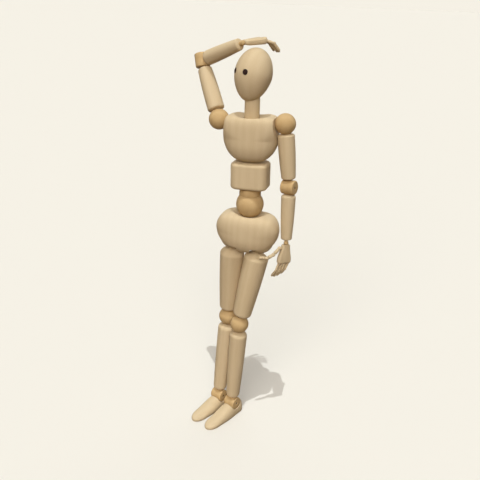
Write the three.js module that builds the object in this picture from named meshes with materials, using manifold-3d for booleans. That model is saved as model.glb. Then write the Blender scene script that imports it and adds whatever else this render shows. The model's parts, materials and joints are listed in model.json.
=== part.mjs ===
// Wooden artist mannequin, standing with its right hand held over its head.
// Millimetres, +Z up. Chest and pelvis face -Y, and +X is the figure's own left.
// The soles stand on z = 0 and the origin is below the middle of the figure's bounding box.

import * as THREE from 'three';
import { mergeVertices } from 'three/addons/utils/BufferGeometryUtils.js';
import Module from 'manifold-3d';

const wasm = await Module();
wasm.setup();

// Driving dimensions

const seatGap = 0.3;
const pinGap = 0.12;

const head = { radius: 17.5, crown: 24, chin: 24.2, taper: 0.12, tilt: 14, sunk: 4.7 };
const eye = { radius: 2.5, proud: 0.7, length: 2.4, apart: 46, above: 0 };
const neck = { radius: 7.1, length: 24, socketDepth: 4 };

const chest = { halfWidth: 27, top: 21.6, bottom: 22.9, depth: 34, dishRadius: 34, dishHeight: 17.4 };
const abdomen = { width: 36, depth: 27, height: 25.7, corner: 10, softEdge: 3 };
const waistBall = { radius: 13.6, above: 29.3 };
const waistCollar = { radius: 10.2, topRadius: 7.4, height: 16.3, stubRadius: 4, stubLength: 6 };
const pelvis = { halfWidth: 31.2, top: 20.6, bottom: 20.6, depth: 35, dishRadius: 27, dishHeight: 16.6 };

const shoulder = { apart: 64, radius: 9.8, above: 15 };
const elbow = { radius: 7, length: 13.2, softEdge: 1.2, pinRadius: 1 };
const wrist = { radius: 2.4, pegRadius: 1.7, length: 8 };
const upperArm = { topRadius: 8.1, bottomRadius: 6.9, length: 43.9, bulge: 0.4, sideLean: 7.2 };
const forearm = { topRadius: 7, bottomRadius: 5.4, length: 45.8, bulge: 0.3, wristGap: 3.2 };
const armDome = { shoulder: [2.6, 0.72], elbow: [3.2, 0.72], wrist: [2, 0.72] };

const palm = { wristWidth: 9, knuckleWidth: 14.4, length: 20.4, thickness: 5.6, softEdge: 1.4, top: -1.3 };
const finger = { spacing: 3.5, radius: 1.35, knuckle: 1.5, firstLength: 9, lastLength: 10.2, tip: 1.15 };
const thumb = {
  radius: 1.55,
  knuckle: 1.75,
  firstLength: 8.8,
  middleLength: 7.4,
  lastLength: 9.6,
  tip: 1.3,
  down: 5.4,
  out: 2.3,
};

const hip = { apart: 28.6, radius: 13, below: 6.9, mouthRadius: 17.4, mouthBelow: 6.4 };
const knee = { radius: 9.6 };
const ankle = { radius: 6.7, length: 13.8, height: 14.2, softEdge: 1.1, pinRadius: 1 };
const thigh = { topRadius: 12.4, bottomRadius: 9.7, length: 75.4, bulge: 0.4 };
const shin = { topRadius: 9.2, bottomRadius: 7.3, length: 84.6, bulge: 0.3 };
const legDome = { hip: [7.4, 1.2], thighKnee: [5.4, 0.8], shinKnee: [6, 0.8], ankle: [6, 0.8] };
const foot = { toe: 42, heel: 13.6, heelWidth: 15.4, ballWidth: 17, heelHeight: 15, toeHeight: 5.2 };

// The pose, in degrees. A lean is how far a piece's upper end goes to the left and to the back.

const pose = {
  footTurn: 24.6,
  leftShin: [2.8, -0.5],
  leftThigh: [10, 3.4],
  rightThigh: [2.9, -4.4],
  rightShin: [3.6, 2.2],
  torso: [-1.5, 0.5],
  chest: [-1, 0.5],
  headTurn: -35,
  leftUpperArm: [-7.2, 0.2],
  leftForearm: [-1.6, 3.2],
  leftElbowTurn: -16,
  rightUpperArm: { rise: 56, heading: 138.5 },
  rightWristOverCrown: [-7.2, -5.3, -3.1],
  leftHand: { lean: [3, 2], turn: 42, curls: [10, 22], fan: [9, 10.5, 12, 13.5], splays: [44, 20, 36] },
  rightHand: { rise: 6, heading: 44, roll: 0, curls: [22, 34], fan: [-4, -10, -16, -22], splays: [16, -10, -6] },
};

// The woods

const paleWood = { color: 0xd2b88f, roughness: 0.62, metalness: 0 };
const amberWood = { color: 0xc79a5e, roughness: 0.5, metalness: 0 };
const darkStud = { color: 0x2b150d, roughness: 0.4, metalness: 0 };
const steel = { color: 0x6f6a66, roughness: 0.4, metalness: 1 };

// Directions and turns

const point = (x, y, z) => new THREE.Vector3(x, y, z);
const radians = THREE.MathUtils.degToRad;
const upright = point(0, 0, 1);
const leftward = point(1, 0, 0);

function leaning([towardLeft, towardBack]) {
  return point(Math.tan(radians(towardLeft)), Math.tan(radians(towardBack)), 1).normalize();
}

function rising({ rise, heading }) {
  const flat = Math.cos(radians(rise));
  return point(flat * Math.cos(radians(heading)), flat * Math.sin(radians(heading)), Math.sin(radians(rise)));
}

function along(start, direction, distance) {
  return start.clone().addScaledVector(direction, distance);
}

function turnedAbout(axis, vector, degrees) {
  return vector.clone().applyAxisAngle(axis, radians(degrees));
}

// Adding and cutting solids

function toSolid(geometry) {
  const bare = geometry.clone();
  bare.deleteAttribute('normal');
  bare.deleteAttribute('uv');
  const merged = mergeVertices(bare, 1e-4);
  const vertProperties = new Float32Array(merged.attributes.position.array);
  const triVerts = new Uint32Array(merged.index.array);
  return new wasm.Manifold(new wasm.Mesh({ numProp: 3, vertProperties, triVerts }));
}

function toGeometry(solid) {
  const { vertProperties, triVerts } = solid.simplify(0.02).getMesh();
  const geometry = new THREE.BufferGeometry();
  geometry.setAttribute('position', new THREE.BufferAttribute(vertProperties, 3));
  geometry.setIndex(new THREE.BufferAttribute(triVerts, 1));
  geometry.computeVertexNormals();
  return geometry;
}

function cut(geometry, ...tools) {
  return toGeometry(tools.reduce((body, tool) => body.subtract(toSolid(tool)), toSolid(geometry)));
}

// Basic shapes

// A solid turned on a lathe about Z, from its profile of [radius, height] pairs, top first
function turned(profile, sides) {
  const points = profile.map(([radius, height]) => new THREE.Vector2(Math.max(radius, 0), height));
  return new THREE.LatheGeometry(points.reverse(), sides).rotateX(Math.PI / 2);
}

function ballShape(radius, sides = 20, rings = 12) {
  return new THREE.SphereGeometry(radius, sides, rings).rotateX(Math.PI / 2);
}

function ballCutter(radius, center = point(0, 0, 0), sides = 20, rings = 14) {
  return ballShape(radius + seatGap, sides, rings).translate(...center);
}

// A round bar or bore along Z between two heights
function barShape(radius, low, high, sides = 20) {
  return new THREE.CylinderGeometry(radius, radius, high - low, sides)
    .rotateX(Math.PI / 2)
    .translate(0, 0, (low + high) / 2);
}

// Profile points round a quarter of an oval, from one angle to another
function quarter([x, z], [width, height], start, end, steps, fullness = 1) {
  return Array.from({ length: steps + 1 }, (_, i) => {
    const angle = radians(THREE.MathUtils.lerp(start, end, i / steps));
    const across = Math.abs(Math.cos(angle)) ** fullness;
    const upward = Math.abs(Math.sin(angle)) ** fullness * Math.sign(Math.sin(angle));
    return [x + width * across, z + height * upward];
  });
}

// A tapered limb that hangs from its upper joint at the origin. Each end is a dome of a height and a fullness.
function limbShape(limb, topGap, [topDome, topFullness], [bottomDome, bottomFullness], sides = 20) {
  const top = -topGap;
  const bottom = top - limb.length;
  const sideSteps = 4;
  const side = Array.from({ length: sideSteps + 1 }, (_, i) => {
    const t = i / sideSteps;
    const radius = THREE.MathUtils.lerp(limb.topRadius, limb.bottomRadius, t);
    const height = THREE.MathUtils.lerp(top - topDome, bottom + bottomDome, t);
    return [radius + limb.bulge * Math.sin(Math.PI * t), height];
  });
  return turned([
    ...quarter([0, top - topDome], [limb.topRadius, topDome], 90, 0, 5, topFullness).slice(0, -1),
    ...side,
    ...quarter([0, bottom + bottomDome], [limb.bottomRadius, bottomDome], 0, -90, 5, bottomFullness).slice(1),
  ], sides);
}

// A cross barrel along X with soft edges and a bore for its pin
function barrelShape(joint) {
  const half = joint.length / 2;
  const inner = joint.radius - joint.softEdge;
  const edge = [joint.softEdge, joint.softEdge];
  const boreRadius = joint.pinRadius + pinGap;
  return turned([
    [boreRadius, half],
    ...quarter([inner, half - joint.softEdge], edge, 90, 0, 3),
    ...quarter([inner, joint.softEdge - half], edge, 0, -90, 3),
    [boreRadius, -half],
    [boreRadius, half],
  ], 20).rotateY(Math.PI / 2);
}

function barrelCutter(joint, center = point(0, 0, 0)) {
  return barShape(joint.radius + seatGap, -joint.length, joint.length, 32)
    .rotateY(Math.PI / 2)
    .translate(...center);
}

function pinShape(joint) {
  const half = joint.length / 2 - 0.5;
  return barShape(joint.pinRadius, -half, half, 12).rotateY(Math.PI / 2);
}

// A full, soft body with this front outline, mirrored left to right, and this depth.
// Its rings are the outline drawn in toward the front and the back.
function cushionShape(halfOutline, depth) {
  const squareness = 2.6;
  const rings = 12;
  const mirrored = halfOutline.slice(1, -1).reverse().map(([x, z]) => [-x, z]);
  const knots = [...halfOutline, ...mirrored].map(([x, z]) => point(x, 0, z));
  const outline = new THREE.CatmullRomCurve3(knots, true, 'centripetal').getPoints(36).slice(0, -1);
  const positions = [0, -depth / 2, 0];
  for (let ring = 1; ring < rings; ring += 1) {
    const y = -Math.cos((Math.PI * ring) / rings);
    const scale = (1 - Math.abs(y) ** squareness) ** (1 / squareness);
    outline.forEach((p) => positions.push(p.x * scale, (y * depth) / 2, p.z * scale));
  }
  positions.push(0, depth / 2, 0);
  return ringedGeometry(positions, outline.length, rings - 1);
}

// Closes rings of points between a first and a last single point
function ringedGeometry(positions, count, rings) {
  const last = positions.length / 3 - 1;
  const faces = [];
  for (let i = 0; i < count; i += 1) {
    const next = (i + 1) % count;
    faces.push(0, 1 + next, 1 + i);
    for (let ring = 0; ring < rings - 1; ring += 1) {
      const a = 1 + ring * count;
      const b = a + count;
      faces.push(a + i, b + next, b + i, a + i, a + next, b + next);
    }
    faces.push(last, last - count + i, last - count + next);
  }
  const geometry = new THREE.BufferGeometry();
  geometry.setAttribute('position', new THREE.BufferAttribute(new Float32Array(positions), 3));
  geometry.setIndex(faces);
  return geometry;
}

// Placing the named pieces

const mannequin = new THREE.Group();

// Turns a piece so that its Z follows up and its X follows side as nearly as it can
function standing(object, origin, up = upright, side = leftward) {
  const z = up.clone().normalize();
  const x = side.clone().addScaledVector(z, -side.dot(z)).normalize();
  const y = z.clone().cross(x);
  object.quaternion.setFromRotationMatrix(new THREE.Matrix4().makeBasis(x, y, z));
  object.position.copy(origin);
  return object;
}

function addPiece(group, name, geometry, look, ...place) {
  const mesh = new THREE.Mesh(toGeometry(toSolid(geometry)), new THREE.MeshStandardMaterial(look));
  mesh.name = name;
  group.add(place.length ? standing(mesh, ...place) : mesh);
  return mesh;
}

// Where the joints stand. The left leg carries the pelvis, and its tilt lets the right leg reach the floor.

const footSide = turnedAbout(upright, leftward, -pose.footTurn);
const thighTopGap = hip.radius - 0.5;
const thighBottomGap = knee.radius - 0.4;
const shinTopGap = knee.radius - 0.4;
const shinBottomGap = ankle.radius + seatGap;
const thighSpan = thighTopGap + thigh.length + thighBottomGap;
const shinSpan = shinTopGap + shin.length + shinBottomGap;

const leftAnkle = point(0, 0, ankle.height);
const leftShinUp = leaning(pose.leftShin);
const leftThighUp = leaning(pose.leftThigh);
const leftKnee = along(leftAnkle, leftShinUp, shinSpan);
const leftHip = along(leftKnee, leftThighUp, thighSpan);

const rightShinUp = leaning(pose.rightShin);
const rightThighUp = leaning(pose.rightThigh);
const rightHipHeight = ankle.height + shinSpan * rightShinUp.z + thighSpan * rightThighUp.z;
const pelvisRise = (leftHip.z - rightHipHeight) / hip.apart;
const pelvisSide = point(Math.sqrt(1 - pelvisRise ** 2), 0, pelvisRise);
const rightHip = along(leftHip, pelvisSide, -hip.apart);
const rightKnee = along(rightHip, rightThighUp, -thighSpan);
const rightAnkle = along(rightKnee, rightShinUp, -shinSpan);

const pelvisUp = point(-pelvisSide.z, 0, pelvisSide.x);
const pelvisCenter = along(leftHip, pelvisSide, -hip.apart / 2).addScaledVector(pelvisUp, hip.below);
const waistCenter = along(pelvisCenter, pelvisUp, waistBall.above);
const torsoUp = leaning(pose.torso);
const chestUp = leaning(pose.chest);
const chestSide = point(chestUp.z, 0, -chestUp.x).normalize();
const abdomenBase = along(waistCenter, torsoUp, waistCollar.height + seatGap);
const chestCenter = along(abdomenBase, torsoUp, abdomen.height + seatGap + chest.bottom);
const neckBase = along(chestCenter, chestUp, chest.dishHeight - neck.socketDepth + seatGap);
const neckTop = along(neckBase, chestUp, neck.length);

// Trunk

function outlineOf(body, fractions) {
  return fractions.map(([x, z]) => [x * body.halfWidth, z > 0 ? z * body.top : z * body.bottom]);
}

// The room that the pelvis leaves round the lower part of a hip ball, where the thigh's end swings
function hipMouth(side) {
  const start = (Math.asin(hip.mouthBelow / hip.mouthRadius) * 180) / Math.PI;
  return turned([
    [0, -hip.mouthBelow],
    ...quarter([0, 0], [hip.mouthRadius, hip.mouthRadius], -start, -90, 6),
  ], 24).translate((side * hip.apart) / 2, 0, -hip.below);
}

function makePelvis() {
  const outline = outlineOf(pelvis, [
    [0, 0.98],
    [0.3, 1],
    [0.62, 0.96],
    [0.85, 0.78],
    [1, 0.34],
    [0.99, -0.1],
    [0.85, -0.5],
    [0.6, -0.83],
    [0.3, -0.98],
    [0, -1],
  ]);
  const body = cut(
    cushionShape(outline, pelvis.depth),
    ballShape(pelvis.dishRadius, 36, 24).translate(0, 0, pelvis.dishHeight + pelvis.dishRadius),
    ballCutter(waistBall.radius, point(0, 0, waistBall.above)),
    ballCutter(hip.radius, point(hip.apart / 2, 0, -hip.below)),
    ballCutter(hip.radius, point(-hip.apart / 2, 0, -hip.below)),
    hipMouth(1),
    hipMouth(-1),
  );
  addPiece(mannequin, 'pelvis', body, paleWood, pelvisCenter, pelvisUp, pelvisSide);
}

function makeWaist() {
  addPiece(mannequin, 'waist_ball', ballShape(waistBall.radius, 24, 12), amberWood, waistCenter, torsoUp);
  const collar = turned([
    [0, waistCollar.height + waistCollar.stubLength],
    [waistCollar.stubRadius, waistCollar.height + waistCollar.stubLength],
    [waistCollar.stubRadius, waistCollar.height],
    [waistCollar.topRadius, waistCollar.height],
    ...quarter(
      [waistCollar.topRadius, waistCollar.height - 4.5],
      [waistCollar.radius - waistCollar.topRadius, 4.5],
      80,
      0,
      3,
    ),
    [waistCollar.radius, waistBall.radius * 0.5],
    [0, waistBall.radius * 0.5],
  ], 24);
  const seated = cut(collar, ballCutter(waistBall.radius));
  addPiece(mannequin, 'waist_collar', seated, amberWood, waistCenter, torsoUp);
}

function makeAbdomen() {
  const edge = abdomen.softEdge;
  const halfWidth = abdomen.width / 2;
  const halfDepth = abdomen.depth / 2;
  const shape = new THREE.Shape();
  shape.moveTo(halfWidth - abdomen.corner, -halfDepth);
  shape.quadraticCurveTo(halfWidth, -halfDepth, halfWidth, -halfDepth + abdomen.corner);
  shape.lineTo(halfWidth, halfDepth - abdomen.corner);
  shape.quadraticCurveTo(halfWidth, halfDepth, halfWidth - abdomen.corner, halfDepth);
  shape.lineTo(abdomen.corner - halfWidth, halfDepth);
  shape.quadraticCurveTo(-halfWidth, halfDepth, -halfWidth, halfDepth - abdomen.corner);
  shape.lineTo(-halfWidth, abdomen.corner - halfDepth);
  shape.quadraticCurveTo(-halfWidth, -halfDepth, abdomen.corner - halfWidth, -halfDepth);
  const block = new THREE.ExtrudeGeometry(shape, {
    depth: abdomen.height - 2 * edge,
    bevelThickness: edge,
    bevelSize: edge,
    bevelOffset: -edge,
    bevelSegments: 4,
    curveSegments: 5,
  }).translate(0, 0, edge);
  const bore = barShape(waistCollar.stubRadius + seatGap, -1, waistCollar.stubLength + seatGap);
  addPiece(mannequin, 'abdomen', cut(block, bore), paleWood, abdomenBase, torsoUp);
}

function makeChest() {
  const outline = outlineOf(chest, [
    [0, 1],
    [0.3, 1],
    [0.6, 1],
    [0.85, 0.9],
    [0.98, 0.6],
    [1, 0.15],
    [0.94, -0.25],
    [0.79, -0.62],
    [0.55, -0.88],
    [0.28, -0.98],
    [0, -1],
  ]);
  const shoulders = [1, -1].map((side) => point((side * shoulder.apart) / 2, 0, shoulder.above));
  const neckSocket = barShape(neck.radius + seatGap, chest.dishHeight - neck.socketDepth, chest.top + 9, 24);
  const dish = ballShape(chest.dishRadius, 36, 24).translate(0, 0, chest.dishHeight + chest.dishRadius);
  const armRoom = upperArm.topRadius + upperArm.bulge + seatGap;
  const armSides = [1, -1].map((side) => {
    const slab = new THREE.BoxGeometry(20, 60, 80).translate(side * (10 - armRoom), 0, 0);
    return slab.rotateY(radians(-side * upperArm.sideLean)).translate(...shoulders[side > 0 ? 0 : 1]);
  });
  const body = cut(
    cushionShape(outline, chest.depth),
    dish,
    neckSocket,
    ...shoulders.map((center) => ballCutter(shoulder.radius, center)),
    ...armSides,
  );
  addPiece(mannequin, 'chest', body, paleWood, chestCenter, chestUp);
}

// Neck and head

function makeNeck() {
  const shape = turned([
    ...quarter([0, neck.length], [neck.radius, neck.radius], 90, 0, 5),
    [neck.radius, 0],
    [0, 0],
  ], 24);
  addPiece(mannequin, 'neck', shape, paleWood, neckBase, chestUp);
}

function eggRadius(t) {
  return head.radius * Math.sqrt(Math.max(0, 1 - t * t)) * (t < 0 ? 1 + head.taper * t : 1);
}

function eggProfile() {
  return Array.from({ length: 17 }, (_, i) => {
    const t = Math.cos((Math.PI * i) / 16);
    return [eggRadius(t), t * (t > 0 ? head.crown : head.chin)];
  });
}

function makeHead() {
  const headSide = turnedAbout(upright, leftward, pose.headTurn);
  const headUp = turnedAbout(headSide, upright, -head.tilt);
  const back = headUp.clone().cross(headSide);
  const headCenter = along(neckTop, chestUp, head.chin - head.sunk);
  const toLocal = new THREE.Matrix4().makeBasis(headSide, back, headUp).setPosition(headCenter).invert();
  const nodCenter = neckTop.clone().applyMatrix4(toLocal);
  const eyes = [1, -1].map((side) => {
    const aim = radians((side * eye.apart) / 2);
    const surface = Math.sqrt(1 - (eye.above / head.crown) ** 2) * head.radius;
    return { aim, inner: surface + eye.proud - eye.length, outer: surface + eye.proud };
  });
  const eyeBores = eyes.map(({ aim, inner, outer }) => {
    const bore = barShape(eye.radius + pinGap, inner - pinGap, outer + 2, 14);
    return bore.rotateX(Math.PI / 2).rotateZ(aim).translate(0, 0, eye.above);
  });
  const nodRoom = turned([
    [0, 0],
    [neck.radius + seatGap, 0],
    [neck.radius + seatGap + 2.6, -9],
    [0, -9],
  ], 24).rotateX(radians(head.tilt)).translate(...nodCenter);
  const egg = cut(turned(eggProfile(), 24), ballCutter(neck.radius, nodCenter), nodRoom, ...eyeBores);
  addPiece(mannequin, 'head', egg, paleWood, headCenter, headUp, headSide);
  eyes.forEach(({ aim, inner, outer }, i) => {
    const stud = turned([
      [0, outer],
      [eye.radius * 0.6, outer - 0.15],
      [eye.radius, outer - 0.7],
      [eye.radius, inner],
      [0, inner],
    ], 14).rotateX(Math.PI / 2).rotateZ(aim).translate(0, 0, eye.above);
    addPiece(mannequin, i ? 'eye_right' : 'eye_left', stud, darkStud, headCenter, headUp, headSide);
  });
}

// Arms

function fingerShape(piece, length, endRadius, tipRadius) {
  const waist = piece.radius * 0.94;
  return turned([
    ...quarter([0, 0], [piece.knuckle, piece.knuckle], 90, 0, 3),
    [waist, -length * 0.3],
    [waist, -length * 0.42],
    [endRadius, -length * 0.55],
    [(endRadius + tipRadius) / 2, -length * 0.72],
    ...quarter([0, tipRadius - length], [tipRadius, tipRadius], 0, -90, 3),
  ], 8);
}

// A first or middle finger piece, hollowed at its end for the next knuckle
function knuckledShape(piece, length) {
  const next = point(0, 0, -length);
  const waist = piece.radius * 0.94;
  const rod = turned([
    ...quarter([0, 0], [piece.knuckle, piece.knuckle], 90, 0, 3),
    [waist, -length * 0.35],
    [piece.radius, piece.knuckle - length],
    [0, piece.knuckle - length],
  ], 8);
  return cut(rod, ballCutter(piece.knuckle, next, 10, 8));
}

// Pieces that hang end to end from one joint, each turned further about its parent's joint
function addChain(group, names, geometries, lengths, start, axis, degrees) {
  let parent = group;
  names.forEach((name, i) => {
    const link = new THREE.Group();
    link.position.copy(i ? point(0, 0, -lengths[i - 1]) : start);
    link.setRotationFromAxisAngle(axis, radians(degrees[i]));
    addPiece(link, name, geometries[i], paleWood);
    parent.add(link);
    parent = link;
  });
}

function palmShape(thumbSide) {
  const edge = palm.softEdge;
  const bottom = palm.top - palm.length;
  const halfWrist = palm.wristWidth / 2;
  const halfKnuckles = palm.knuckleWidth / 2;
  const shape = new THREE.Shape();
  shape.moveTo(halfWrist - 1.4, palm.top);
  shape.lineTo(1.4 - halfWrist, palm.top);
  shape.lineTo(-halfWrist, palm.top - 1.4);
  shape.lineTo(-halfWrist, palm.top - 4);
  shape.lineTo(-halfKnuckles, bottom + 5);
  shape.lineTo(-halfKnuckles, bottom + 1.2);
  shape.lineTo(1.2 - halfKnuckles, bottom);
  shape.lineTo(halfKnuckles - 1.2, bottom);
  shape.lineTo(halfKnuckles, bottom + 1.2);
  shape.lineTo(halfKnuckles, bottom + 5);
  shape.lineTo(halfWrist, palm.top - 4);
  shape.lineTo(halfWrist, palm.top - 1.4);
  const block = new THREE.ExtrudeGeometry(shape, {
    depth: palm.thickness - 2 * edge,
    bevelThickness: edge,
    bevelSize: edge,
    bevelOffset: -edge,
    bevelSegments: 2,
  }).translate(0, 0, edge - palm.thickness / 2).rotateX(Math.PI / 2);
  const seats = fingerRoots().map((root) => ballCutter(finger.knuckle, root, 10, 8));
  const thumbSeat = ballCutter(thumb.knuckle, thumbRoot(thumbSide), 12, 10);
  return cut(block, ballCutter(wrist.radius, point(0, 0, 0), 16, 12), ...seats, thumbSeat);
}

function fingerRoots() {
  return [-1.5, -0.5, 0.5, 1.5].map((step) => point(step * finger.spacing, 0, palm.top - palm.length));
}

function thumbRoot(thumbSide) {
  return point(thumbSide * (palm.wristWidth / 2 + thumb.out), 0, -thumb.down);
}

function makeHand(side, place, handPose) {
  const thumbSide = side === 'left' ? -1 : 1;
  const hand = standing(new THREE.Group(), ...place);
  mannequin.add(hand);
  addPiece(hand, `palm_${side}`, palmShape(thumbSide), paleWood);
  const digits = ['index', 'middle', 'ring', 'little'];
  const reaches = [0.95, 1, 0.96, 0.82];
  digits.forEach((digit, i) => {
    const knuckle = new THREE.Group();
    knuckle.position.copy(fingerRoots()[thumbSide < 0 ? i : 3 - i]);
    knuckle.rotation.y = radians(-thumbSide * handPose.fan[i]);
    hand.add(knuckle);
    const lengths = [finger.firstLength * reaches[i], finger.lastLength * reaches[i]];
    const shapes = [
      knuckledShape(finger, lengths[0]),
      fingerShape(finger, lengths[1], finger.radius, finger.tip),
    ];
    const names = [`${digit}_first_${side}`, `${digit}_last_${side}`];
    addChain(knuckle, names, shapes, lengths, point(0, 0, 0), leftward, handPose.curls);
  });
  const thumbShapes = [
    knuckledShape(thumb, thumb.firstLength),
    knuckledShape(thumb, thumb.middleLength),
    fingerShape(thumb, thumb.lastLength, thumb.radius, thumb.tip),
  ];
  const thumbNames = ['first', 'middle', 'last'].map((part) => `thumb_${part}_${side}`);
  const thumbAxis = point(0, -thumbSide, 0);
  const thumbLengths = [thumb.firstLength, thumb.middleLength];
  addChain(hand, thumbNames, thumbShapes, thumbLengths, thumbRoot(thumbSide), thumbAxis, handPose.splays);
}

// An arm from its shoulder ball down. The directions run from the shoulder to the elbow and to the wrist.
function makeArm(side, shoulderCenter, upperWay, lowerWay, barrelSide, elbowGap, handPlace, handPose) {
  const span = shoulder.radius - 0.9 + upperArm.length + elbowGap;
  const elbowCenter = along(shoulderCenter, upperWay, span);
  const lowerSpan = elbow.radius + forearm.length + forearm.wristGap;
  const wristCenter = along(elbowCenter, lowerWay, lowerSpan);
  const armUp = upperWay.clone().negate();
  const lowerUp = lowerWay.clone().negate();
  const armShape = limbShape(upperArm, shoulder.radius - 0.9, armDome.shoulder, armDome.elbow);
  const lowerShape = limbShape(forearm, elbow.radius, armDome.elbow, armDome.wrist);
  const wristBore = barShape(wrist.pegRadius + seatGap, -1, wrist.length + seatGap - forearm.wristGap, 12)
    .translate(0, 0, forearm.wristGap - lowerSpan);
  const pegTurn = Math.acos(wrist.pegRadius / wrist.radius) * THREE.MathUtils.RAD2DEG;
  const peg = turned([
    [0, wrist.length],
    [wrist.pegRadius, wrist.length],
    ...quarter([0, 0], [wrist.radius, wrist.radius], pegTurn, -90, 6),
  ], 12);
  addPiece(mannequin, `shoulder_ball_${side}`, ballShape(shoulder.radius), amberWood, shoulderCenter);
  const seatedArm = cut(armShape, ballCutter(shoulder.radius));
  const armSide = upperWay.clone().cross(lowerWay);
  addPiece(mannequin, `upper_arm_${side}`, seatedArm, paleWood, shoulderCenter, armUp, armSide);
  const elbowPlace = [elbowCenter, lowerUp, barrelSide];
  addPiece(mannequin, `elbow_barrel_${side}`, barrelShape(elbow), amberWood, ...elbowPlace);
  addPiece(mannequin, `elbow_pin_${side}`, pinShape(elbow), steel, ...elbowPlace);
  const seatedForearm = cut(lowerShape, barrelCutter(elbow), wristBore);
  addPiece(mannequin, `forearm_${side}`, seatedForearm, paleWood, ...elbowPlace);
  addPiece(mannequin, `wrist_peg_${side}`, peg, amberWood, wristCenter, lowerUp, barrelSide);
  makeHand(side, [wristCenter, ...handPlace], handPose);
}

function makeArms() {
  const shoulderMiddle = along(chestCenter, chestUp, shoulder.above);
  const leftShoulder = along(shoulderMiddle, chestSide, shoulder.apart / 2);
  const rightShoulder = along(shoulderMiddle, chestSide, -shoulder.apart / 2);
  const leftBarrelSide = turnedAbout(upright, leftward, pose.leftElbowTurn);
  const leftHandPlace = [
    leaning(pose.leftHand.lean),
    turnedAbout(upright, leftward, pose.leftHand.turn),
  ];
  makeArm(
    'left',
    leftShoulder,
    leaning(pose.leftUpperArm).negate(),
    leaning(pose.leftForearm).negate(),
    leftBarrelSide,
    elbow.radius + seatGap,
    leftHandPlace,
    pose.leftHand,
  );
  const raised = rising(pose.rightUpperArm);
  const crownTop = along(neckTop, upright, head.chin - head.sunk + head.crown);
  const armEnd = along(rightShoulder, raised, shoulder.radius - 0.9 + upperArm.length);
  const over = crownTop.clone().add(point(...pose.rightWristOverCrown)).sub(armEnd).normalize();
  const handWay = rising(pose.rightHand);
  const tilt = Math.acos(raised.dot(raised.clone().addScaledVector(over, -raised.dot(over)).normalize()));
  const endReach = (elbow.length / 2 + 3 * Math.sin(tilt)) / Math.cos(tilt) + seatGap;
  makeArm(
    'right',
    rightShoulder,
    raised,
    over,
    raised.clone().negate(),
    endReach,
    [handWay.clone().negate(), turnedAbout(handWay, upright.clone().cross(handWay), pose.rightHand.roll)],
    pose.rightHand,
  );
}

// Legs

function makeLeg(side, hipCenter, thighUp, kneeCenter, shinUp, ankleCenter) {
  addPiece(mannequin, `hip_ball_${side}`, ballShape(hip.radius, 24, 12), paleWood, hipCenter);
  const thighShape = cut(
    limbShape(thigh, thighTopGap, legDome.hip, legDome.thighKnee),
    ballCutter(hip.radius),
    ballCutter(knee.radius, point(0, 0, -thighSpan)),
  );
  addPiece(mannequin, `thigh_${side}`, thighShape, paleWood, hipCenter, thighUp, footSide);
  addPiece(mannequin, `knee_ball_${side}`, ballShape(knee.radius), amberWood, kneeCenter);
  const shinShape = cut(limbShape(shin, shinTopGap, legDome.shinKnee, legDome.ankle), ballCutter(knee.radius));
  addPiece(mannequin, `shin_${side}`, shinShape, paleWood, kneeCenter, shinUp, footSide);
  const anklePlace = [ankleCenter, upright, footSide];
  addPiece(mannequin, `ankle_barrel_${side}`, barrelShape(ankle), amberWood, ...anklePlace);
  addPiece(mannequin, `ankle_pin_${side}`, pinShape(ankle), steel, ...anklePlace);
  addPiece(mannequin, `foot_${side}`, footShape(), paleWood, ...anklePlace);
}

// The foot's height and half width along its length, both drawn in at the round heel and toe
function footRing(forward) {
  const toHeel = Math.min(1, (forward + foot.heel) / 7.5);
  const toToe = Math.min(1, (foot.toe - forward) / 12);
  const round = Math.sqrt(1 - (1 - toHeel) ** 2) * Math.sqrt(1 - (1 - toToe) ** 2);
  const t = THREE.MathUtils.clamp((forward + foot.heel) / (foot.toe + foot.heel), 0, 1);
  const ball = Math.sin(Math.PI * Math.min(1, t * 1.25) ** 1.4) ** 2;
  const halfWidth = (foot.heelWidth + (foot.ballWidth - foot.heelWidth) * ball) / 2;
  const slope = THREE.MathUtils.smoothstep(t, 0.18, 1);
  const height = THREE.MathUtils.lerp(foot.heelHeight, foot.toeHeight, slope ** 0.85);
  const crownRound = Math.sqrt(1 - (1 - toHeel) ** 2.6) * Math.sqrt(1 - (1 - toToe) ** 3);
  return { halfWidth: halfWidth * round, height: 1.6 + (height - 1.6) * crownRound };
}

function footShape() {
  const rings = 18;
  const arch = 12;
  const positions = [0, foot.heel, 1.2 - ankle.height];
  for (let ring = 1; ring < rings; ring += 1) {
    const forward = (foot.toe - foot.heel) / 2 - ((foot.toe + foot.heel) / 2) * Math.cos((Math.PI * ring) / rings);
    const { halfWidth, height } = footRing(forward);
    const low = 1.2;
    positions.push(halfWidth - 0.5, -forward, -ankle.height);
    for (let i = 0; i <= arch; i += 1) {
      const angle = (Math.PI * i) / arch;
      const across = Math.sign(Math.cos(angle)) * Math.abs(Math.cos(angle)) ** 0.7;
      const x = halfWidth * across;
      positions.push(x, -forward, low + (height - low) * Math.sin(angle) ** 0.8 - ankle.height);
    }
    positions.push(0.5 - halfWidth, -forward, -ankle.height);
  }
  positions.push(0, -foot.toe, 1.2 - ankle.height);
  return cut(ringedGeometry(positions, arch + 3, rings - 1), barrelCutter(ankle));
}

makePelvis();
makeWaist();
makeAbdomen();
makeChest();
makeNeck();
makeHead();
makeArms();
makeLeg('left', leftHip, leftThighUp, leftKnee, leftShinUp, leftAnkle);
makeLeg('right', rightHip, rightThighUp, rightKnee, rightShinUp, rightAnkle);

const box = new THREE.Box3().setFromObject(mannequin, true);
mannequin.position.set(-(box.min.x + box.max.x) / 2, -(box.min.y + box.max.y) / 2, -box.min.z);
mannequin.updateMatrixWorld(true);

export default mannequin;
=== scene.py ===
import json
import math

import bmesh
import bpy
from mathutils import Matrix, Vector


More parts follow.
